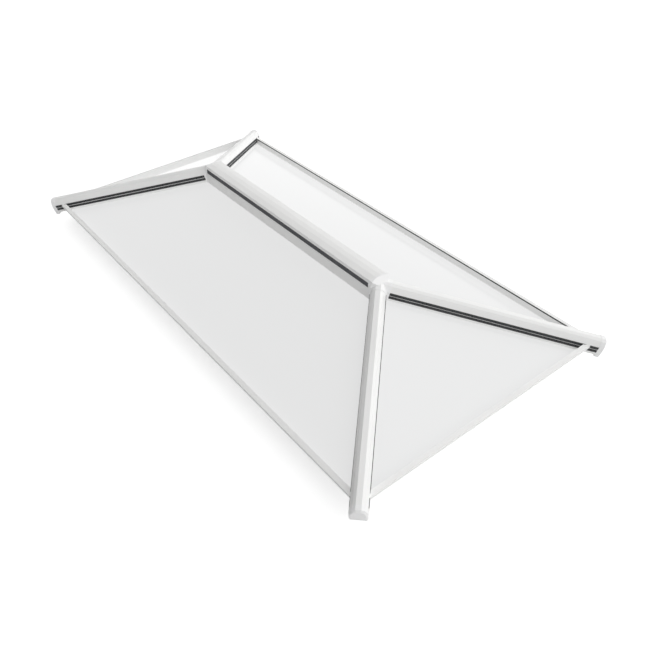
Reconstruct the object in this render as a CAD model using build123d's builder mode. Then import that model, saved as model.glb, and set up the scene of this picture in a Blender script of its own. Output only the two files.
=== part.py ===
from build123d import *
import os
from math import asin, atan, cos, radians, sin, sqrt, tan

os.makedirs("parts", exist_ok=True)

# Overall size over the eaves covers, and the slope of the four panes in degrees
length = 2000
width = 1000
pitch = 20

# Ring beam that stands on the kerb: a hollow section with an outer fixing flange
kerb_margin = 50
flange_width = 26
flange_thickness = 4
beam_width = 52
beam_height = 60
beam_wall = 3
fixing_hole_radius = 3.25
long_side_holes = (250, 750)
short_side_hole = 250

# Stepped sealed unit: the outer pane runs on past the inner one at the eaves
outer_pane = 6
cavity = 16
inner_pane = 6
bed_seal = 4
pane_step = 8
pane_gap = 12
spacer_width = 10
spacer_inset = 3
bed_width = 10
glass_clearance = 0.6
glass_edge_clearance = 0.2

# Eaves: holding rail round the glass edge, black seal on the long sides, clipped cover
eaves_lap = 15.5
rail_height = 16
rail_lean = 1.5
rail_lean_height = 8
rail_outset = 11
rail_wall = 1.8
rail_down = 12
eaves_seal_height = 5.5
cover_pitch = 10
cover_thickness = 2
cover_lip = 10.5

# Hip bars: rafter below the glass, retainer, two pairs of gaskets and cap above it
hip_half_width = 25
hip_web = 9
hip_retainer_top = 4
hip_gasket_height = 9
hip_plate_thickness = 2
hip_cap_height = 26
hip_cap_foot = 3
hip_cap_shoulder = 16.5
hip_cap_shoulder_drop = 5.5
hip_cap_flat = 8
cap_wall = 2
gasket_inset = 1
hip_overrun = -3
rafter_half_width = 24
rafter_depth = 60
rafter_wall = 3
rafter_stem = 8
stem_nose = 7

# Ridge: beam below the glass, retainer, one pair of gaskets and cap above it
ridge_half_width = 37
ridge_retainer_top = 28
ridge_gasket_height = 18
ridge_cap_height = 13.5
ridge_cap_foot = 36
ridge_cap_shoulder = 33
ridge_cap_shoulder_drop = 4
ridge_cap_flat = 10
ridge_web = 14
ridge_beam_half_width = 26
ridge_beam_depth = 68
ridge_stem = 10

# Moulded end pieces
end_cap_length = 20
end_cap_proud = 1
end_cap_bevel = 5
cover_stub = 32
cover_back = 8
cover_nose = 22
cover_nose_drop = 14.5
boss_radius = 50
boss_wall = 3
boss_floor = 4

# The slopes of a pane, of an eaves cover, of a hip line and of a pane seen square to a hip
slope = tan(radians(pitch))
cover_slope = tan(radians(cover_pitch))
hip_fall = atan(slope / sqrt(2))
hip_slope = tan(asin(sin(radians(pitch)) / sqrt(2)))
hip_level = 1 / cos(atan(hip_slope))

# Heights and insets that follow from the sizes above
unit_thickness = outer_pane + cavity + inner_pane
bed_depth = unit_thickness + bed_seal
beam_outset = kerb_margin + flange_width
beam_inset = beam_outset + beam_width
seat_rise = bed_depth / cos(radians(pitch))
pane_lean = outer_pane * sin(radians(pitch))
outer_pane_edge = rail_outset + rail_wall + glass_edge_clearance + pane_lean
ridge_half = (length - width) / 2


def roof_height(inset):
    """Height of the top of the glass at a plan distance inside the eaves."""
    return beam_height + (inset - beam_outset) * slope + seat_rise


apex = roof_height(width / 2)
hip_gasket_low = hip_retainer_top
hip_plate_low = hip_gasket_low + hip_gasket_height
hip_gasket_high = hip_plate_low + hip_plate_thickness
hip_cap_base = hip_gasket_high + hip_gasket_height
hip_top = hip_cap_base + hip_cap_height
ridge_cap_base = ridge_retainer_top + ridge_gasket_height
ridge_top = ridge_cap_base + ridge_cap_height
corner_run = width / sqrt(2)
hip_end = (corner_run + hip_overrun) / cos(hip_fall)
past_eaves = 2 * hip_end

# Each side by its name and the plan direction that points inwards from its eaves
sides = {"front": (0, 1), "back": (0, -1), "left": (1, 0), "right": (-1, 0)}
corners = {"front_left": (-1, -1), "front_right": (1, -1), "back_right": (1, 1), "back_left": (-1, 1)}


def eaves_reach(inward):
    """Distance from the middle of the roof to the eaves of one side."""
    return width / 2 if inward[1] else length / 2


def eaves_half(inward):
    """Half the run of one side's eaves."""
    return length / 2 if inward[1] else width / 2


def section_plane(inward):
    """Upright plane across the eaves: x is the inset from the cover's edge, y the height."""
    reach = eaves_reach(inward)
    along = (inward[1], -inward[0], 0)
    return Plane(origin=(-inward[0] * reach, -inward[1] * reach, 0), x_dir=(*inward, 0), z_dir=along)


def plan_plane(inward, height):
    """Level plane over one side: x runs along the eaves, y is the inset."""
    reach = eaves_reach(inward)
    along = (inward[1], -inward[0], 0)
    return Plane(origin=(-inward[0] * reach, -inward[1] * reach, height), x_dir=along, z_dir=(0, 0, 1))


def pane_plane(inward, depth):
    """Plane of one side's glass, a given depth below its top face."""
    reach = eaves_reach(inward)
    along = (inward[1], -inward[0], 0)
    tilt = sin(radians(pitch))
    normal = (-inward[0] * tilt, -inward[1] * tilt, cos(radians(pitch)))
    top = Plane(origin=(-inward[0] * reach, -inward[1] * reach, roof_height(0)), x_dir=along, z_dir=normal)
    return top.offset(-depth)


def hip_plane(corner, distance):
    """Plane square to a hip line, a distance down it: x is level, y points up."""
    level = cos(hip_fall) / sqrt(2)
    down = (corner[0] * level, corner[1] * level, -sin(hip_fall))
    across = (-corner[1], corner[0], 0)
    return Plane(origin=(corner[0] * ridge_half, 0, apex), x_dir=across, z_dir=down).offset(distance)


def outline(plane, points):
    """Closed figure with straight sides on a plane."""
    with BuildSketch(plane) as figure:
        with BuildLine():
            Polyline(*points, close=True)
        make_face()
    return figure.sketch


def both_sides(points):
    """Points of a symmetric section from those of its right half, listed upwards."""
    return points + [(-x, y) for x, y in reversed(points) if x]


def ridge_plane(start):
    """Plane square to the ridge: x is level, y points up."""
    return Plane(origin=(start, 0, apex), x_dir=(0, 1, 0), z_dir=(1, 0, 0))


def between_hips(inward, depth):
    """Plan figure of one side's strip between the lines of its two hips."""
    half = eaves_half(inward)
    points = [(-half, 0), (half, 0), (half - depth, depth), (-half + depth, depth)]
    return outline(plan_plane(inward, 0), points)


def pane_figure(inward, depth, low, hip_gap, ridge_gap):
    """Figure of a pane whose edges keep their plan insets at this depth in the unit."""
    half = eaves_half(inward)
    lean = depth * sin(radians(pitch))
    corner = hip_gap * sqrt(2)
    high = width / 2 - (ridge_gap if inward[1] else corner)
    foot = (half - low - corner, (low - lean) / cos(radians(pitch)))
    head = (half - high - corner if inward[1] else 0, (high - lean) / cos(radians(pitch)))
    return outline(pane_plane(inward, depth), both_sides([foot, head]))


# Ring beam, one mitred length a side, hollow, with the fixing flange outside
for name, inward in sides.items():
    with BuildPart() as beam:
        beam_section = [
            (kerb_margin, 0),
            (beam_inset, 0),
            (beam_inset, beam_height + beam_width * slope),
            (beam_outset, beam_height),
            (beam_outset, flange_thickness),
            (kerb_margin, flange_thickness),
        ]
        extrude(outline(section_plane(inward), beam_section), amount=eaves_half(inward), both=True)
        chamber_out = beam_outset + beam_wall
        chamber_in = beam_inset - beam_wall
        roof_wall = beam_wall / cos(radians(pitch))
        chamber = [
            (chamber_out, beam_wall),
            (chamber_in, beam_wall),
            (chamber_in, beam_height + (chamber_in - beam_outset) * slope - roof_wall),
            (chamber_out, beam_height + (chamber_out - beam_outset) * slope - roof_wall),
        ]
        extrude(
            outline(section_plane(inward), chamber),
            amount=eaves_half(inward),
            both=True,
            mode=Mode.SUBTRACT,
        )
        extrude(between_hips(inward, beam_inset), amount=apex, mode=Mode.INTERSECT)
        offsets = long_side_holes if inward[1] else (short_side_hole,)
        spots = [(sign * offset, kerb_margin + flange_width / 2) for offset in offsets for sign in (-1, 1)]
        with BuildSketch(plan_plane(inward, 0)):
            with Locations(*spots):
                Circle(fixing_hole_radius)
        extrude(amount=flange_thickness, mode=Mode.SUBTRACT)
    beam.part.label = f"eaves_beam_{name}"
    export_step(beam.part, f"parts/eaves_beam_{name}.step")

# Sealed units: outer and inner pane of each side, as two sheets that do not touch
inner_pane_edge = beam_outset + pane_step
for name, inward in sides.items():
    with BuildPart() as glass:
        extrude(
            pane_figure(inward, outer_pane, outer_pane_edge, pane_gap, ridge_stem + pane_gap - rafter_stem),
            amount=outer_pane,
        )
        extrude(
            pane_figure(inward, unit_thickness, inner_pane_edge, pane_gap, ridge_stem + pane_gap - rafter_stem),
            amount=inner_pane,
        )
    glass.part.label = f"glass_{name}"
    export_step(glass.part, f"parts/glass_{name}.step")


def ring(inward, depth, low, gap, band):
    """Frame-shaped figure round a pane: an outer outline less the same one taken in."""
    ridge_gap = gap + ridge_stem - rafter_stem
    outer = pane_figure(inward, depth, low, gap, ridge_gap)
    inner = pane_figure(inward, depth, low + band, gap + band, ridge_gap + band)
    return outer - inner


# Spacer bars between the panes, a closed frame in each of the four units
with BuildPart() as spacers:
    for inward in sides.values():
        low = inner_pane_edge + spacer_inset
        figure = ring(inward, outer_pane + cavity, low, pane_gap + spacer_inset, spacer_width)
        extrude(figure, amount=cavity)
spacers.part.label = "spacer_bars"
export_step(spacers.part, "parts/spacer_bars.step")

# Bed seals under the four units
with BuildPart() as beds:
    for inward in sides.values():
        extrude(ring(inward, bed_depth, inner_pane_edge, pane_gap, bed_width), amount=bed_seal)
beds.part.label = "bed_seals"
export_step(beds.part, "parts/bed_seals.step")

# Section that the hip bar takes up above the glass, with its nose between the panes
hip_envelope = [
    (rafter_stem, -rafter_stem * hip_slope - stem_nose),
    (rafter_stem, -rafter_stem * hip_slope),
    (hip_half_width, -hip_half_width * hip_slope),
    (hip_half_width, hip_top),
]


def eaves_bar(inward, section):
    """Bar along one side's eaves, mitred at the corners and cut clear of the hip bars."""
    with BuildPart() as bar:
        extrude(outline(section_plane(inward), section), amount=eaves_half(inward), both=True)
        extrude(between_hips(inward, beam_inset), amount=apex, mode=Mode.INTERSECT)
        for corner in corners.values():
            envelope = outline(hip_plane(corner, 0), both_sides(hip_envelope))
            extrude(envelope, amount=past_eaves, mode=Mode.SUBTRACT)
    return bar


# Heights above the glass of the stack at the eaves, at the inner edge of the cover
rail_foot = eaves_lap - rail_lean
edge_height = roof_height(rail_foot)
seal_low = edge_height + rail_height + rail_lean_height
cover_low = seal_low + eaves_seal_height
leg_top = roof_height(outer_pane_edge) - outer_pane / cos(radians(pitch)) - glass_clearance
leg_low = leg_top - rail_wall

# Eaves rails: they hold the edge of the outer pane and reach back to the ring beam.
# Their inner face leans over the glass near its top. At the two ends it meets the cover.
# Below the top of the glass their outer wall turns in along the edge of the pane.
wall_turn = roof_height(rail_outset + rail_wall)
for name, inward in sides.items():
    rail_top = seal_low if inward[1] else cover_low
    rail_section = [
        (rail_foot, edge_height),
        (rail_foot, edge_height + rail_height),
        (eaves_lap, seal_low),
        (rail_outset, rail_top - (eaves_lap - rail_outset) * cover_slope),
        (rail_outset, wall_turn),
        (rail_outset + (wall_turn - leg_low) * slope, leg_low),
        (beam_outset - rail_wall, leg_low),
        (beam_outset - rail_wall, leg_low - rail_down),
        (beam_outset, leg_low - rail_down),
        (beam_outset, leg_top),
        (rail_outset + rail_wall + (wall_turn - leg_top) * slope, leg_top),
        (rail_outset + rail_wall, wall_turn),
    ]
    if rail_top > seal_low:
        rail_section.insert(3, (eaves_lap, rail_top))
    rail = eaves_bar(inward, rail_section)
    rail.part.label = f"eaves_rail_{name}"
    export_step(rail.part, f"parts/eaves_rail_{name}.step")

# Black seal strips between the rails and covers of the two long sides
seal_edge = eaves_lap - gasket_inset
seal_section = [
    (seal_edge, seal_low - gasket_inset * cover_slope),
    (seal_edge, cover_low - gasket_inset * cover_slope),
    (rail_outset, cover_low - (eaves_lap - rail_outset) * cover_slope),
    (rail_outset, seal_low - (eaves_lap - rail_outset) * cover_slope),
]
strips = [eaves_bar(inward, seal_section).part for inward in sides.values() if inward[1]]
with BuildPart() as eaves_seals:
    add(strips)
eaves_seals.part.label = "eaves_seals"
export_step(eaves_seals.part, "parts/eaves_seals.step")

# Eaves covers: a gently sloping plate with a turned-down lip
plate_rise = cover_thickness / cos(radians(cover_pitch))
plate_edge = cover_low + plate_rise - eaves_lap * cover_slope
cover_section = [
    (eaves_lap, cover_low),
    (eaves_lap, cover_low + plate_rise),
    (0, plate_edge),
    (0, plate_edge - cover_lip),
    (cover_thickness, plate_edge - cover_lip),
    (cover_thickness, cover_low - (eaves_lap - cover_thickness) * cover_slope),
]
for name, inward in sides.items():
    cover = eaves_bar(inward, cover_section)
    cover.part.label = f"eaves_cover_{name}"
    export_step(cover.part, f"parts/eaves_cover_{name}.step")


def corner_plot(corner, reach):
    """Plan square between a ridge end and the eaves, as far out as a reach allows."""
    far = (corner[0] * reach, corner[1] * reach)
    middle = Plane(origin=(corner[0] * ridge_half, 0, 0))
    return outline(middle, [(0, 0), (far[0], 0), far, (0, far[1])])


def hip_bar(corner, side, reach):
    """Bar down a hip line from the right half of its section, cut off at a plan reach."""
    with BuildPart() as bar:
        extrude(outline(hip_plane(corner, -rafter_depth), both_sides(side)), amount=past_eaves)
        extrude(corner_plot(corner, reach), amount=apex, mode=Mode.INTERSECT)
    return bar


# Hip rafters: a hollow body under the glass, and a stem that parts the panes
shoulder_drop = bed_depth * hip_level
body_side = [
    (0, -shoulder_drop - rafter_depth),
    (rafter_half_width, -shoulder_drop - rafter_depth),
    (rafter_half_width, -shoulder_drop - rafter_half_width * hip_slope),
    (0, -shoulder_drop),
]
chamber_half = rafter_half_width - rafter_wall
chamber_top = -shoulder_drop - rafter_wall * hip_level
chamber_side = [
    (0, -shoulder_drop - rafter_depth + rafter_wall),
    (chamber_half, -shoulder_drop - rafter_depth + rafter_wall),
    (chamber_half, chamber_top - chamber_half * hip_slope),
    (0, chamber_top),
]
stem_side = [
    (0, -shoulder_drop),
    (rafter_stem, -shoulder_drop - rafter_stem * hip_slope),
    (rafter_stem, -rafter_stem * hip_slope),
    (0, 0),
]
nose_side = [
    (rafter_stem, -rafter_stem * hip_slope - stem_nose),
    (rafter_stem, -rafter_stem * hip_slope),
    (0, 0),
]
body_reach = width / 2 - beam_inset
stem_reach = width / 2 - beam_outset
nose_start = (stem_reach - stem_nose) * sqrt(2) / cos(hip_fall)
for name, corner in corners.items():
    body = hip_bar(corner, body_side, body_reach).part
    chamber = hip_bar(corner, chamber_side, body_reach).part
    stem = hip_bar(corner, stem_side, stem_reach).part
    nose = outline(hip_plane(corner, nose_start), both_sides(nose_side))
    with BuildPart() as rafter:
        add(body)
        add(chamber, mode=Mode.SUBTRACT)
        add(stem)
        extrude(nose, amount=hip_end - nose_start)
    rafter.part.label = f"hip_rafter_{name}"
    export_step(rafter.part, f"parts/hip_rafter_{name}.step")

# Hip retainers: flange on the glass, web, and the plate between the two gaskets
hip_web_top = hip_cap_base - cap_wall
retainer_side = [
    (0, 0),
    (hip_half_width, -hip_half_width * hip_slope),
    (hip_half_width, hip_retainer_top),
    (hip_web, hip_retainer_top),
    (hip_web, hip_plate_low),
    (hip_half_width, hip_plate_low),
    (hip_half_width, hip_gasket_high),
    (hip_web, hip_gasket_high),
    (hip_web, hip_web_top),
]
for name, corner in corners.items():
    with BuildPart() as retainer:
        extrude(outline(hip_plane(corner, cover_stub), both_sides(retainer_side)), amount=hip_end - cover_stub)
    retainer.part.label = f"hip_retainer_{name}"
    export_step(retainer.part, f"parts/hip_retainer_{name}.step")

# Hip gaskets: two black strips one above the other on each side of each hip
gasket_half = (hip_half_width - gasket_inset - hip_web) / 2
with BuildPart() as hip_gaskets:
    for corner in corners.values():
        with BuildSketch(hip_plane(corner, cover_stub)):
            for low in (hip_gasket_low, hip_gasket_high):
                with Locations((hip_web + gasket_half, low + hip_gasket_height / 2)):
                    Rectangle(2 * gasket_half, hip_gasket_height)
                with Locations((-hip_web - gasket_half, low + hip_gasket_height / 2)):
                    Rectangle(2 * gasket_half, hip_gasket_height)
        extrude(amount=hip_end - cover_stub)
hip_gaskets.part.label = "hip_gaskets"
export_step(hip_gaskets.part, "parts/hip_gaskets.step")


def cap_section(plane, side, foot, base):
    """Open cap of even wall: a closed outline hollowed by the wall and cut open below."""
    with BuildSketch(plane) as cap:
        with BuildLine():
            Polyline(*both_sides(side), close=True)
        make_face()
        offset(amount=-cap_wall, kind=Kind.INTERSECTION, mode=Mode.SUBTRACT)
        with Locations((0, base + cap_wall / 2)):
            Rectangle(2 * (foot - cap_wall), cap_wall, mode=Mode.SUBTRACT)
    return cap.sketch


def hip_cap_side(grow):
    """Right half of the hip cap's outline, grown by the end pieces' proud rim."""
    return [
        (hip_half_width + grow, hip_cap_base),
        (hip_half_width + grow, hip_cap_base + hip_cap_foot),
        (hip_cap_shoulder + grow, hip_top - hip_cap_shoulder_drop + grow),
        (hip_cap_flat, hip_top + grow),
    ]


for name, corner in corners.items():
    with BuildPart() as hip_cap:
        plane = hip_plane(corner, cover_stub)
        extrude(
            cap_section(plane, hip_cap_side(0), hip_half_width, hip_cap_base),
            amount=hip_end - cover_stub,
        )
    hip_cap.part.label = f"hip_cap_{name}"
    export_step(hip_cap.part, f"parts/hip_cap_{name}.step")

# Hip end caps: moulded plugs that close each hip past the corner of the eaves
end_side = [(hip_half_width + end_cap_proud, -hip_half_width * hip_slope - stem_nose)]
end_side += hip_cap_side(end_cap_proud)[1:]
for name, corner in corners.items():
    with BuildPart() as end_cap:
        extrude(outline(hip_plane(corner, hip_end), both_sides(end_side)), amount=end_cap_length)
        end_face = end_cap.faces().sort_by(Axis(hip_plane(corner, 0).origin, hip_plane(corner, 0).z_dir))[-1]
        chamfer(end_face.edges(), length=end_cap_bevel)
    end_cap.part.label = f"hip_end_cap_{name}"
    export_step(end_cap.part, f"parts/hip_end_cap_{name}.step")

# Ridge beam: hollow body under the glass with a stem between the two long panes
ridge_floor = -seat_rise - ridge_beam_depth
ridge_beam_side = [
    (0, ridge_floor),
    (ridge_beam_half_width, ridge_floor),
    (ridge_beam_half_width, -seat_rise - ridge_beam_half_width * slope),
    (ridge_stem, -seat_rise - ridge_stem * slope),
    (ridge_stem, -ridge_stem * slope),
    (0, 0),
]
ridge_chamber_half = ridge_beam_half_width - rafter_wall
ridge_chamber_top = -seat_rise - rafter_wall / cos(radians(pitch))
ridge_chamber_side = [
    (0, ridge_floor + rafter_wall),
    (ridge_chamber_half, ridge_floor + rafter_wall),
    (ridge_chamber_half, ridge_chamber_top - ridge_chamber_half * slope),
    (0, ridge_chamber_top),
]
with BuildPart() as ridge_beam:
    extrude(outline(ridge_plane(0), both_sides(ridge_beam_side)), amount=ridge_half, both=True)
    extrude(
        outline(ridge_plane(0), both_sides(ridge_chamber_side)),
        amount=ridge_half,
        both=True,
        mode=Mode.SUBTRACT,
    )
ridge_beam.part.label = "ridge_beam"
export_step(ridge_beam.part, "parts/ridge_beam.step")

# Ridge retainer: hollow profile that stands on the glass and holds the gaskets up
ridge_run = ridge_half - cover_back
ridge_retainer_side = [
    (0, 0),
    (ridge_half_width, -ridge_half_width * slope),
    (ridge_half_width, ridge_retainer_top),
    (ridge_web, ridge_retainer_top),
    (ridge_web, ridge_cap_base - cap_wall),
]
retainer_chamber_half = ridge_half_width - rafter_wall
retainer_floor = rafter_wall / cos(radians(pitch))
retainer_chamber_side = [
    (0, retainer_floor),
    (retainer_chamber_half, retainer_floor - retainer_chamber_half * slope),
    (retainer_chamber_half, ridge_retainer_top - rafter_wall),
]
with BuildPart() as ridge_retainer:
    extrude(outline(ridge_plane(0), both_sides(ridge_retainer_side)), amount=ridge_run, both=True)
    extrude(
        outline(ridge_plane(0), both_sides(retainer_chamber_side)),
        amount=ridge_run,
        both=True,
        mode=Mode.SUBTRACT,
    )
ridge_retainer.part.label = "ridge_retainer"
export_step(ridge_retainer.part, "parts/ridge_retainer.step")

# Ridge gaskets, one black strip each side
ridge_gasket_width = ridge_half_width - gasket_inset - ridge_web
with BuildPart() as ridge_gaskets:
    with BuildSketch(ridge_plane(0)):
        height = ridge_retainer_top + ridge_gasket_height / 2
        with Locations(
            (ridge_web + ridge_gasket_width / 2, height),
            (-ridge_web - ridge_gasket_width / 2, height),
        ):
            Rectangle(ridge_gasket_width, ridge_gasket_height)
    extrude(amount=ridge_run, both=True)
ridge_gaskets.part.label = "ridge_gaskets"
export_step(ridge_gaskets.part, "parts/ridge_gaskets.step")


def ridge_cap_side(grow):
    """Right half of the ridge cap's outline, grown by the end pieces' proud rim."""
    return [
        (ridge_cap_foot + grow, ridge_cap_base),
        (ridge_cap_shoulder + grow, ridge_top - ridge_cap_shoulder_drop + grow),
        (ridge_cap_flat, ridge_top + grow),
    ]


with BuildPart() as ridge_cap:
    extrude(
        cap_section(ridge_plane(0), ridge_cap_side(0), ridge_cap_foot, ridge_cap_base),
        amount=ridge_run,
        both=True,
    )
ridge_cap.part.label = "ridge_cap"
export_step(ridge_cap.part, "parts/ridge_cap.step")

# Ridge end covers: moulded hoods that close the ridge and take the heads of two hips.
# Past the end of the ridge line the top of the hood slopes down to the hip caps.
hood_arm_half = hip_half_width + end_cap_proud
hood_hip_side = [(0, 0), (hood_arm_half, -hood_arm_half * hip_slope)]
hood_hip_side += hip_cap_side(end_cap_proud)[1:]
hood_half = ridge_half_width + end_cap_proud
hood_ridge_side = [(0, 0), (hood_half, -hood_half * slope), (hood_half, ridge_cap_base)]
hood_ridge_side += ridge_cap_side(end_cap_proud)[1:]
hood_foot = apex - hood_half * slope
hood_top = apex + ridge_top + end_cap_proud
nose_end = ridge_half + cover_nose
nose_top = hood_top - cover_nose_drop
nose_reach = cover_stub * cos(hip_fall) - hip_half_width * hip_slope * sin(hip_fall)
nose_corner = nose_reach * sqrt(2)
for name, end in {"left": -1, "right": 1}.items():
    with BuildPart() as stub:
        section = outline(ridge_plane(end * ridge_run), both_sides(hood_ridge_side))
        extrude(section, amount=end * (cover_back + cover_nose))
        profile = [
            (end * ridge_run, hood_foot),
            (end * ridge_run, hood_top),
            (end * ridge_half, hood_top),
            (end * nose_end, nose_top),
            (end * nose_end, hood_foot),
        ]
        extrude(outline(Plane.XZ, profile), amount=hood_half, both=True, mode=Mode.INTERSECT)
        plan = [
            (end * ridge_run, -hood_half),
            (end * (ridge_half + nose_corner - hood_half), -hood_half),
            (end * nose_end, cover_nose - nose_corner),
            (end * nose_end, nose_corner - cover_nose),
            (end * (ridge_half + nose_corner - hood_half), hood_half),
            (end * ridge_run, hood_half),
        ]
        extrude(outline(Plane.XY, plan), amount=hood_top, mode=Mode.INTERSECT)
    with BuildPart() as hood:
        for lateral in (-1, 1):
            extrude(outline(hip_plane((end, lateral), 0), both_sides(hood_hip_side)), amount=cover_stub)
        split(bisect_by=ridge_plane(end * ridge_run), keep=Keep.TOP if end > 0 else Keep.BOTTOM)
        add(stub.part)
    hood.part.label = f"ridge_end_cover_{name}"
    export_step(hood.part, f"parts/ridge_end_cover_{name}.step")

# Junction covers inside, round cups under the meeting of ridge beam and rafters
boss_top = apex - seat_rise - boss_radius * slope - rafter_wall
boss_base = apex + ridge_floor - boss_floor
for name, end in {"left": -1, "right": 1}.items():
    with BuildPart() as boss:
        with BuildSketch(Plane(origin=(end * ridge_half, 0, boss_base))):
            Circle(boss_radius)
        extrude(amount=boss_top - boss_base)
        with BuildSketch(Plane(origin=(end * ridge_half, 0, boss_base + boss_floor))):
            Circle(boss_radius - boss_wall)
        extrude(amount=boss_top - boss_base, mode=Mode.SUBTRACT)
        extrude(
            outline(ridge_plane(end * ridge_half), both_sides(ridge_beam_side)),
            amount=-end * boss_radius,
            mode=Mode.SUBTRACT,
        )
        for lateral in (-1, 1):
            extrude(
                outline(hip_plane((end, lateral), 0), both_sides(body_side)),
                amount=2 * boss_radius,
                mode=Mode.SUBTRACT,
            )
    boss.part.label = f"junction_cover_{name}"
    export_step(boss.part, f"parts/junction_cover_{name}.step")
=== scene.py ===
# %% [markdown]
# # A hipped roof lantern, dressed for a product picture
# A lantern skylight is a small glass roof that stands on a kerb over an opening in a flat roof.
# This one has four panes: two long ones that meet at a ridge, and a triangle at each end.
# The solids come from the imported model. This script gives them their finishes, adds the small
# parts that the solids leave plain or leave out, and sets the camera and the light.

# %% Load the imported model
import math

import bmesh
import bpy
from mathutils import Matrix, Vector


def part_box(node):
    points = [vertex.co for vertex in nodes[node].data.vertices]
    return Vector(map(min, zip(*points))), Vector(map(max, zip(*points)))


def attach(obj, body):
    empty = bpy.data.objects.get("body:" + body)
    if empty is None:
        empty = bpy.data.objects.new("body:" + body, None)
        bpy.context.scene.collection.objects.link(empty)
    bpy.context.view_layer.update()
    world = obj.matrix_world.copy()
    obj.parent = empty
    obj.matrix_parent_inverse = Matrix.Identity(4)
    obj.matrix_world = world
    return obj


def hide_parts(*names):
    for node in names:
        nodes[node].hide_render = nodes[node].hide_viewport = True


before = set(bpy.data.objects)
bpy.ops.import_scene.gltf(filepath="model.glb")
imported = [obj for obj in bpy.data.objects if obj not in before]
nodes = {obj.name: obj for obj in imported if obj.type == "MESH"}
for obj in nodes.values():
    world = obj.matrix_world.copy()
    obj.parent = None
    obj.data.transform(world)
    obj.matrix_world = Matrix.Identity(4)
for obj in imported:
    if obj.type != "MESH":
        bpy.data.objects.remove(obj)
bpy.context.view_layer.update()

# %% [markdown]
# ## Millimetres
# Blender works in metres here, but the parts of a lantern are easier to read in millimetres. One
# value turns the first into the second wherever a size is written.

# %% The length of a millimetre
MM = 0.001

# %% [markdown]
# ## Colours
# A colour is written the way a paint chart or a picture shows it, as an sRGB hex value. The
# renderer works with linear light, so one function turns the first into the second.

# %% One function for every colour
def linear(hex_value):
    """An sRGB hex value as linear red, green, blue and an alpha of 1, by the sRGB standard."""
    parts = [int(hex_value[i:i + 2], 16) / 255 for i in (0, 2, 4)]
    return tuple(c / 12.92 if c <= 0.04045 else ((c + 0.055) / 1.055) ** 2.4 for c in parts) + (1.0,)


print("the white of the powder coat in linear light:", [round(c, 3) for c in linear("F2F2F1")])

# %% [markdown]
# ## One helper for nodes
# A finish is a small graph of nodes. Adding a node, setting its values and linking its inputs is
# always the same work, so one function does it for every kind of node. An input is named by its
# label or its number, and is given a value, or a pair of another node and its output to link.

# %% Add a node with its settings and links
def add_node(tree, kind, inputs=None, **settings):
    """A node of one kind. Settings are its own options, inputs its values or links."""
    node = tree.nodes.new(kind)
    for option, value in settings.items():
        setattr(node, option, value)
    for socket, value in (inputs or {}).items():
        if isinstance(value, tuple) and isinstance(value[0], bpy.types.Node):
            tree.links.new(value[0].outputs[value[1]], node.inputs[socket])
        else:
            node.inputs[socket].default_value = value
    return node


# %% [markdown]
# ## What every finish starts with
# Each finish needs a shader and somewhere to lay its pattern. Object coordinates are metres on
# the part itself, so a pattern keeps its real size and stays on the part when the camera moves.

# %% Start a finish
def new_finish(name):
    """An empty material with its shader and the object's own coordinates."""
    finish = bpy.data.materials.new(name)
    finish.use_nodes = True
    tree = finish.node_tree
    tree.nodes.clear()
    shader = add_node(tree, "ShaderNodeBsdfPrincipled")
    add_node(tree, "ShaderNodeOutputMaterial", {"Surface": (shader, "BSDF")})
    place = add_node(tree, "ShaderNodeTexCoord")
    return finish, tree, shader, place


# %% [markdown]
# ## Pattern scales
# The scale of a noise texture is about how many grains it has in one metre. A grain of a known
# size in millimetres therefore needs a scale of 1000 divided by that size. Writing it as a
# function keeps every grain in the script a real size.

# %% From a grain size to a texture scale
def grain_scale(size_mm):
    """Noise scale for a grain of this size, on coordinates in metres."""
    return 1000 / size_mm


print("scale of a 2 mm grain:", grain_scale(2))

# %% [markdown]
# ## Powder-coated aluminium
# The bars are extruded aluminium with a baked polyester powder coat in white. The coat is about
# 0.08 mm thick and sets with a faint orange peel: soft hills about 2 mm across that break up a
# reflection but hardly show otherwise. The colour is even, with a very slight cloudiness from
# the thickness of the coat. It is a paint, so it isn't metallic, and it has a satin gloss.

# %% The white satin powder coat
def powder_coat(name, light, dark):
    """Satin polyester powder coat: orange peel and a faint cloud in the white."""
    cloud_mm = 120
    peel_mm = 2.2
    peel_depth = 0.02 * MM
    finish, tree, shader, place = new_finish(name)
    cloud = add_node(
        tree, "ShaderNodeTexNoise",
        {"Vector": (place, "Object"), "Scale": grain_scale(cloud_mm), "Detail": 3.0},
    )
    tone = add_node(tree, "ShaderNodeValToRGB", {"Fac": (cloud, "Fac")})
    tone.color_ramp.elements[0].color = linear(dark)
    tone.color_ramp.elements[0].position = 0.3
    tone.color_ramp.elements[1].color = linear(light)
    tone.color_ramp.elements[1].position = 0.7
    peel = add_node(
        tree, "ShaderNodeTexNoise",
        {"Vector": (place, "Object"), "Scale": grain_scale(peel_mm), "Detail": 1.0},
    )
    hills = add_node(
        tree, "ShaderNodeBump",
        {"Height": (peel, "Fac"), "Distance": peel_depth, "Strength": 0.2},
    )
    tree.links.new(tone.outputs["Color"], shader.inputs["Base Color"])
    tree.links.new(hills.outputs["Normal"], shader.inputs["Normal"])
    shader.inputs["Roughness"].default_value = 0.42
    shader.inputs["IOR"].default_value = 1.5
    return finish


white_coat = powder_coat("white_powder_coat", "F2F2F1", "EFEFEE")
print("made", white_coat.name)

# %% [markdown]
# ## Moulded white plastic
# The end caps of the hips, the hoods at the ridge ends and the round covers under them are
# moulded from a weatherproof white plastic, ASA, matched to the coat. A moulding is a little
# glossier than the coat and has the fine, even spark grain of its tool, about 0.6 mm across. It
# is drawn at 1 mm so that it shows at all.

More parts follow.
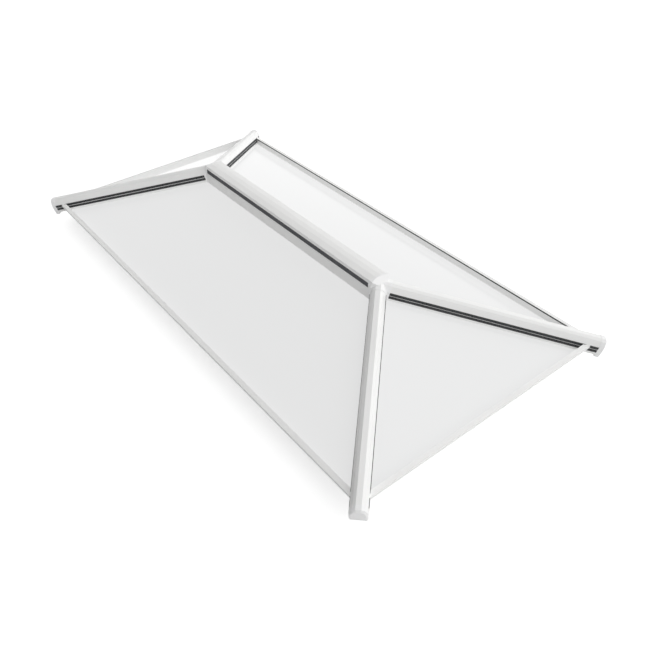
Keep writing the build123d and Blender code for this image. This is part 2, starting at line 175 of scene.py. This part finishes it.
# %% The moulded end pieces
def moulded_plastic(name, colour):
    """ASA moulding: an even colour with the fine grain of a sparked tool."""
    spark_mm = 1
    spark_depth = 0.02 * MM
    finish, tree, shader, place = new_finish(name)
    spark = add_node(
        tree, "ShaderNodeTexNoise",
        {"Vector": (place, "Object"), "Scale": grain_scale(spark_mm), "Detail": 2.0},
    )
    tool = add_node(
        tree, "ShaderNodeBump",
        {"Height": (spark, "Fac"), "Distance": spark_depth, "Strength": 0.3},
    )
    tree.links.new(tool.outputs["Normal"], shader.inputs["Normal"])
    shader.inputs["Base Color"].default_value = linear(colour)
    shader.inputs["Roughness"].default_value = 0.36
    shader.inputs["IOR"].default_value = 1.49
    return finish


white_moulding = moulded_plastic("white_asa_moulding", "F2F2F2")
print("made", white_moulding.name)

# %% [markdown]
# ## Black rubber gaskets
# EPDM is the rubber of window gaskets. It is extruded, and the faint lines that this leaves
# along a strip are too fine to show here. What shows is a matt black with a grey bloom, which
# is never quite black. The strips along the ridge are given a lighter, dark grey copy of the
# rubber.

# %% The gaskets and seals
def extruded_rubber(name, colour, bloom):
    """Matt EPDM with a patchy grey bloom and a fine tooth."""
    patch_mm = 60
    tooth_mm = 0.8
    tooth_depth = 0.05 * MM
    finish, tree, shader, place = new_finish(name)
    patches = add_node(
        tree, "ShaderNodeTexNoise",
        {"Vector": (place, "Object"), "Scale": grain_scale(patch_mm), "Detail": 4.0},
    )
    tone = add_node(tree, "ShaderNodeValToRGB", {"Fac": (patches, "Fac")})
    tone.color_ramp.elements[0].color = linear(colour)
    tone.color_ramp.elements[0].position = 0.35
    tone.color_ramp.elements[1].color = linear(bloom)
    tone.color_ramp.elements[1].position = 0.8
    tooth = add_node(
        tree, "ShaderNodeTexNoise",
        {"Vector": (place, "Object"), "Scale": grain_scale(tooth_mm), "Detail": 2.0},
    )
    bump = add_node(
        tree, "ShaderNodeBump",
        {"Height": (tooth, "Fac"), "Distance": tooth_depth, "Strength": 0.5},
    )
    tree.links.new(tone.outputs["Color"], shader.inputs["Base Color"])
    tree.links.new(bump.outputs["Normal"], shader.inputs["Normal"])
    shader.inputs["Roughness"].default_value = 0.72
    shader.inputs["IOR"].default_value = 1.52
    return finish


black_rubber = extruded_rubber("black_epdm_rubber", "232426", "313234")
# The ridge strips get a lighter, dark grey copy of the black rubber.
ridge_grey_rubber = extruded_rubber("ridge_grey_epdm_rubber", "3A3B3E", "4C4D50")
print("made", black_rubber.name, "and", ridge_grey_rubber.name)

# %% [markdown]
# ## Mill aluminium of the spacer bars
# The frame between two panes of a sealed unit is a bent aluminium tube with a plain mill finish:
# no coat, and a soft metal gloss that varies a little from place to place. The small screws
# further down take the same finish, because bare metal looks much the same on them.

# %% The spacer bars
def mill_aluminium(name, colour):
    """Plain drawn aluminium whose gloss varies a little."""
    gloss_patch_mm = 3
    finish, tree, shader, place = new_finish(name)
    patches = add_node(
        tree, "ShaderNodeTexNoise",
        {"Vector": (place, "Object"), "Scale": grain_scale(gloss_patch_mm), "Detail": 4.0},
    )
    gloss = add_node(
        tree, "ShaderNodeMapRange",
        {"Value": (patches, "Fac"), "To Min": 0.34, "To Max": 0.5},
    )
    tree.links.new(gloss.outputs["Result"], shader.inputs["Roughness"])
    shader.inputs["Base Color"].default_value = linear(colour)
    shader.inputs["Metallic"].default_value = 1.0
    return finish


spacer_metal = mill_aluminium("mill_aluminium", "C4C6C8")
print("made", spacer_metal.name)

# %% [markdown]
# ## Opal glass
# The panes look evenly pale and nothing shows through them, so the units are glazed with opal
# laminated glass: float glass with a milky white sheet inside. It has a smooth, hard surface over
# a soft white body, and its gloss is held low because the picture shows no reflection on the
# panes. Daylight spreads inside the milky sheet, so all four panes look about equally pale
# whichever way they slope. That light is painted in: part of the white is a glow of the glass's
# own, though a pane is no lamp, and it also lights the bars beside it a little. The rest is a grey
# body that takes the light and the shadows.

# %% The four sealed units
def opal_glass(name, body):
    """Laminated float glass with a milky sheet: smooth outside, soft white within, and a painted glow.
    """
    wave_mm = 180
    wave_depth = 0.05 * MM
    # Painted light: a glow of the panes' own, which evens their tone whichever way they slope.
    painted_glow = 0.66
    finish, tree, shader, place = new_finish(name)
    rollers = add_node(
        tree, "ShaderNodeTexNoise",
        {"Vector": (place, "Object"), "Scale": grain_scale(wave_mm), "Detail": 1.0},
    )
    wave = add_node(
        tree, "ShaderNodeBump",
        {"Height": (rollers, "Fac"), "Distance": wave_depth, "Strength": 0.2},
    )
    tree.links.new(wave.outputs["Normal"], shader.inputs["Normal"])
    shader.inputs["Base Color"].default_value = linear(body)
    # The emission is the painted glow of the panes, not a lamp.
    shader.inputs["Emission Color"].default_value = linear("FFFFFF")
    shader.inputs["Emission Strength"].default_value = painted_glow
    shader.inputs["Roughness"].default_value = 0.16
    shader.inputs["Specular IOR Level"].default_value = 0.12
    shader.inputs["IOR"].default_value = 1.52
    return finish


pane_glass = opal_glass("opal_laminated_glass", "707171")
print("made", pane_glass.name)

# %% [markdown]
# ## Every solid gets its finish
# The names of the nodes say what they are, so a list of name beginnings is enough. A node whose
# name isn't in the list is an aluminium bar or cover and gets the white coat. A node keeps its
# mesh, and only its material slots change.

# %% Give the finishes to the nodes
finish_of = {
    "glass": pane_glass,
    "hip_gaskets": black_rubber,
    "ridge_gaskets": ridge_grey_rubber,
    "eaves_seals": black_rubber,
    "bed_seals": black_rubber,
    "spacer_bars": spacer_metal,
    "hip_end_cap": white_moulding,
    "ridge_end_cover": white_moulding,
    "junction_cover": white_moulding,
}
for name, node in nodes.items():
    finish = next((f for start, f in finish_of.items() if name.startswith(start)), white_coat)
    node.data.materials.clear()
    node.data.materials.append(finish)
    print(name, "->", finish.name)

# %% [markdown]
# ## Bulb-nosed gaskets
# Two rubber strips, one above the other, run along each side of each hip bar. The solids show
# them as plain bars in their grooves. A real gasket is extruded with a stem that fills the groove
# and a bulb in front of it, which stands a little proud of the aluminium and laps over its edges
# to shed water. The web, the side of the bar and the grooves are those of the solids.

# %% The section of a gasket
web = 9 * MM
bar_side = 25 * MM
bulb_nose = 26.3 * MM
bulb_rounding = 0.9 * MM
grooves = [(4 * MM, 13 * MM), (15 * MM, 24 * MM)]
bulbs = [(3.4 * MM, 13 * MM), (15 * MM, 25 * MM)]
print("a bulb stands", round((bulb_nose - bar_side) / MM, 1), "mm proud of the bar")

# %% [markdown]
# ## One length of gasket
# A strip could be a curve with a bevel object, which is handy where it bends. These are straight,
# so the section is drawn as one face and extruded along the bar, and only the two long edges of
# its nose are bevelled round. Where stem and bulb end at one height, two points of the outline
# are the same, and only one is kept, so that no face is left without area. Later on, two places
# less than a thousandth of a millimetre apart count as the same.

# %% Extrude the section and round its nose
SAME_PLACE = 1e-6


def gasket_strip(start, end, stem, bulb):
    """A square-cut strip along X. Stem and bulb each give their low and high Z."""
    strip = bmesh.new()
    stem_low, stem_high = stem
    bulb_low, bulb_high = bulb
    outline = [
        (web, stem_low), (bar_side, stem_low), (bar_side, bulb_low), (bulb_nose, bulb_low),
        (bulb_nose, bulb_high), (bar_side, bulb_high), (bar_side, stem_high), (web, stem_high),
    ]
    section = strip.faces.new([strip.verts.new((start, y, z)) for y, z in dict.fromkeys(outline)])
    grown = bmesh.ops.extrude_face_region(strip, geom=[section])
    far_end = [item for item in grown["geom"] if isinstance(item, bmesh.types.BMVert)]
    bmesh.ops.translate(strip, verts=far_end, vec=(end - start, 0, 0))
    nose_edges = [
        e for e in strip.edges
        if all(abs(v.co.y - bulb_nose) < SAME_PLACE for v in e.verts)
        and abs(e.verts[0].co.x - e.verts[1].co.x) > SAME_PLACE
    ]
    bmesh.ops.bevel(
        strip, geom=nose_edges, offset=bulb_rounding, offset_type="OFFSET",
        segments=5, profile=0.5, affect="EDGES", material=-1,
    )
    return strip


def placed(strip, origin, along, aside, upward):
    """The strip moved so that its X, Y and Z lie along three directions from an origin."""
    turn = Matrix((along, aside, upward)).transposed().to_4x4()
    bmesh.ops.transform(strip, matrix=Matrix.Translation(origin) @ turn, verts=strip.verts)
    bmesh.ops.recalc_face_normals(strip, faces=strip.faces)
    return strip


# %% [markdown]
# ## Parts that share an object
# Parts that are alike are easier to handle as one object. The parts are gathered in one mesh,
# each where it belongs, so the object itself stays at the origin, unturned and unscaled.

# %% One object from several parts
def join_into_piece(name, parts, finish):
    """One object at the origin from several bmeshes."""
    whole = bmesh.new()
    for part in parts:
        mesh = bpy.data.meshes.new(name)
        part.to_mesh(mesh)
        part.free()
        whole.from_mesh(mesh)
        bpy.data.meshes.remove(mesh)
    mesh = bpy.data.meshes.new(name)
    whole.to_mesh(mesh)
    whole.free()
    mesh.materials.append(finish)
    piece = bpy.data.objects.new(name, mesh)
    bpy.context.scene.collection.objects.link(piece)
    return piece


# %% [markdown]
# ## The line of a hip
# The glass slopes at 20 degrees on all four sides. Seen from above, a hip runs at 45 degrees
# between two slopes, so its own fall is gentler than theirs, and its section stands square to
# that falling line. The strips start behind the hood of the ridge and end at the cap past the
# eaves, where the solids' strips do. The height of the ridge is measured in the frame, from the
# foot of its gaskets.

# %% Where the hips start and how they fall
pitch = math.radians(20)
hip_fall = math.atan(math.tan(pitch) / math.sqrt(2))
ridge_end = 500 * MM
ridge_strip_rise = 28 * MM
apex = Vector((0, 0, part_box("ridge_gaskets")[0].z - ridge_strip_rise))
hip_strip_start = 32 * MM
hip_strip_end = 727 * MM
print("hip fall:", round(math.degrees(hip_fall), 2), "degrees, glass apex:", round(apex.z / MM, 2), "mm")

# %% Sixteen strips on four hips
hip_strips = []
for end in (-1, 1):
    for lateral in (-1, 1):
        level = Vector((end, lateral, 0)).normalized()
        down = level * math.cos(hip_fall) - Vector((0, 0, math.sin(hip_fall)))
        across = Vector((-level.y, level.x, 0))
        upward = level * math.sin(hip_fall) + Vector((0, 0, math.cos(hip_fall)))
        top_of_hip = apex + Vector((end * ridge_end, 0, 0))
        for side in (-1, 1):
            for groove, bulb in zip(grooves, bulbs):
                strip = gasket_strip(hip_strip_start, hip_strip_end, groove, bulb)
                hip_strips.append(placed(strip, top_of_hip, down, across * side, upward))
hip_bulbs = join_into_piece("hip_gasket_strips", hip_strips, black_rubber)
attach(hip_bulbs, "root")
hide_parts("hip_gaskets")
print(hip_bulbs.name, len(hip_strips), "strips,", len(hip_bulbs.data.polygons), "faces")

# %% [markdown]
# ## The screws under the junction covers
# Inside, the round cover under each end of the ridge is held by two pan head screws. A real one
# is a low dome pressed on the end of a wire, with a recess for the driver. The dome could be a
# squashed sphere, but its side is steeper than that, so half of its outline is drawn as points
# and spun. The points are shares of the radius and of the rise. The top face is then inset and
# pushed in, which makes the recess a plain socket.

# %% A pan head screw by spinning its outline
screw_radius = 4 * MM
screw_rise = 2.4 * MM
screw_recess = 1.2 * MM
recess_margin = 0.15 * screw_radius
dome_shares = [(0, -1), (0.45, -1), (0.8, -0.8), (1, -0.35), (1, 0)]


def pan_head(place):
    """Head of a pan head screw that hangs under a level face, as a bmesh at that place."""
    head = bmesh.new()
    points = [head.verts.new((out * screw_radius, 0, down * screw_rise)) for out, down in dome_shares]
    edges = [head.edges.new(pair) for pair in zip(points, points[1:])]
    bmesh.ops.spin(
        head, geom=points + edges, cent=(0, 0, 0), axis=(0, 0, 1),
        angle=2 * math.pi, steps=24, use_merge=True,
    )
    bmesh.ops.remove_doubles(head, verts=head.verts, dist=SAME_PLACE)
    rim = [e for e in head.edges if e.is_boundary]
    bmesh.ops.contextual_create(head, geom=rim)
    tip = [f for f in head.faces if abs(f.calc_center_median().z + screw_rise) < SAME_PLACE]
    bmesh.ops.inset_region(head, faces=tip, thickness=recess_margin)
    bmesh.ops.translate(head, verts=list({v for f in tip for v in f.verts}), vec=(0, 0, screw_recess))
    bmesh.ops.recalc_face_normals(head, faces=head.faces)
    bmesh.ops.translate(head, verts=head.verts, vec=place)
    return head


print("a screw head is", 2 * screw_radius / MM, "mm wide")

# %% [markdown]
# ## Two screws at each end of the ridge
# The covers sit under the ends of the ridge beam, so the beam's length and the level underside of
# a cover, both measured in the frame, say where the screws go.

# %% Place the screws
ridge_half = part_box("ridge_beam")[1].x
cover_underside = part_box("junction_cover_right")[0].z
screw_offset = 28 * MM
for side, end in {"left": -1, "right": 1}.items():
    spots = [Vector((end * ridge_half, y, cover_underside)) for y in (-screw_offset, screw_offset)]
    screws = join_into_piece(f"junction_screws_{side}", [pan_head(spot) for spot in spots], spacer_metal)
    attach(screws, "root")
    print(screws.name, len(screws.data.vertices), "vertices")

# %% [markdown]
# ## Camera
# The picture was taken from above the near right corner. The camera's place, heading, tilt and
# lean were found by lining up the eaves and the ridge with the picture, and its focal length by
# comparing renders with it. The lens is a moderate wide angle, worked out from a focal length in
# pixels over a frame of 665 pixels.

# %% Place the camera
heading = math.radians(142.569)
tilt_down = math.radians(40.639)
lean = math.radians(-1.448)
focal_px = 701.06
frame_px = 665
eye = Vector((1.8172, -1.1969, 1.6046))

forward = Vector((
    math.cos(heading) * math.cos(tilt_down),
    math.sin(heading) * math.cos(tilt_down),
    -math.sin(tilt_down),
))
right = Vector((math.sin(heading), -math.cos(heading), 0))
up = right.cross(forward)
camera_right = right * math.cos(lean) + up * math.sin(lean)
camera_up = up * math.cos(lean) - right * math.sin(lean)
camera = bpy.data.objects.new("camera", bpy.data.cameras.new("camera"))
bpy.context.scene.collection.objects.link(camera)
camera.data.sensor_width = 36
camera.data.lens = focal_px / frame_px * camera.data.sensor_width
turn = Matrix((camera_right, camera_up, -forward)).transposed()
camera.matrix_world = Matrix.Translation(eye) @ turn.to_4x4()
bpy.context.scene.camera = camera
print("lens:", round(camera.data.lens, 2), "mm")

# %% [markdown]
# ## A glow that only views see
# A product picture has a white ground and a white surround. More light would make them white, but
# it would also wash out the lantern. So the floor and the sky are made brighter only where they
# are seen: by the camera, in reflections and through glass. The Light Path node tells those rays
# from the light that falls on things.

# %% Tell what is seen from what lights
def glow_for_views(tree):
    """A factor of 1 for camera, glossy and transmission rays, and 0 for the light itself."""
    rays = add_node(tree, "ShaderNodeLightPath")
    both = add_node(
        tree, "ShaderNodeMath",
        {0: (rays, "Is Camera Ray"), 1: (rays, "Is Glossy Ray")}, operation="MAXIMUM",
    )
    return add_node(
        tree, "ShaderNodeMath",
        {0: (both, 0), 1: (rays, "Is Transmission Ray")}, operation="MAXIMUM",
    )


# %% [markdown]
# ## Floor
# The floor is a plain pale surface that catches the light and the shadow. Its glow lifts it, so
# that the lit part reaches white while the shadow stays.

# %% A wide plain floor
floor_reach = 40
floor_data = bmesh.new()
bmesh.ops.create_grid(floor_data, x_segments=1, y_segments=1, size=floor_reach)
floor_mesh = bpy.data.meshes.new("floor")
floor_data.to_mesh(floor_mesh)
floor_data.free()
floor = bpy.data.objects.new("floor", floor_mesh)
bpy.context.scene.collection.objects.link(floor)
print("the floor reaches", max(v.co.x for v in floor_mesh.vertices), "m to each side")

# %% The finish of the floor and its glow
floor_glow_strength = 0.58
floor_finish = bpy.data.materials.new("studio_floor")
floor_finish.use_nodes = True
floor_tree = floor_finish.node_tree
floor_tree.nodes.clear()
floor_glow = add_node(
    floor_tree, "ShaderNodeMath",
    {0: (glow_for_views(floor_tree), 0), 1: floor_glow_strength}, operation="MULTIPLY",
)
floor_shader = add_node(
    floor_tree, "ShaderNodeBsdfPrincipled",
    {"Base Color": linear("E8E8E8"), "Roughness": 1.0, "Specular IOR Level": 0.0,
     "Emission Color": linear("FFFFFF"), "Emission Strength": (floor_glow, 0)},
)
add_node(floor_tree, "ShaderNodeOutputMaterial", {"Surface": (floor_shader, "BSDF")})
floor_mesh.materials.append(floor_finish)
print("made", floor_finish.name)

# %% [markdown]
# ## Light
# The picture is lit softly from two sides: the faces towards the right end and towards the back
# are bright, and the faces towards the front left are the darkest. Two wide suns do that. A weak
# third one, almost straight above, keeps the level tops white, and a dim sky fills in. To the
# camera the sky is plain white.

# %% Three soft suns
sun_width = math.radians(60)
sun_slope = math.tan(math.radians(33))
almost_up = (0.001, 0, 1)


def soft_sun(name, towards, strength):
    """A wide sun that shines from a direction."""
    lamp = bpy.data.lights.new(name, "SUN")
    lamp.energy = strength
    lamp.angle = sun_width
    sun = bpy.data.objects.new(name, lamp)
    bpy.context.scene.collection.objects.link(sun)
    sun.rotation_mode = "QUATERNION"
    sun.rotation_quaternion = Vector(towards).to_track_quat("Z", "Y")
    print(name, "strength", strength)


soft_sun("sun_right", (1, 0, sun_slope), strength=1.25)
soft_sun("sun_back", (0, 1, sun_slope), strength=1.3)
soft_sun("sun_top", almost_up, strength=0.46)

# %% A sky that fills in
sky_fill = 0.22
sky_seen = 1.0
world = bpy.data.worlds.new("studio")
bpy.context.scene.world = world
world.use_nodes = True
sky_tree = world.node_tree
sky_tree.nodes.clear()
sky_mix = add_node(
    sky_tree, "ShaderNodeMapRange",
    {"Value": (glow_for_views(sky_tree), 0), "To Min": sky_fill, "To Max": sky_seen},
)
sky = add_node(
    sky_tree, "ShaderNodeBackground",
    {"Color": linear("FFFFFF"), "Strength": (sky_mix, "Result")},
)
add_node(sky_tree, "ShaderNodeOutputWorld", {"Surface": (sky, "Background")})
bpy.context.scene.view_settings.view_transform = "Standard"
print("the sky lights with", sky_fill, "and is seen at", sky_seen)
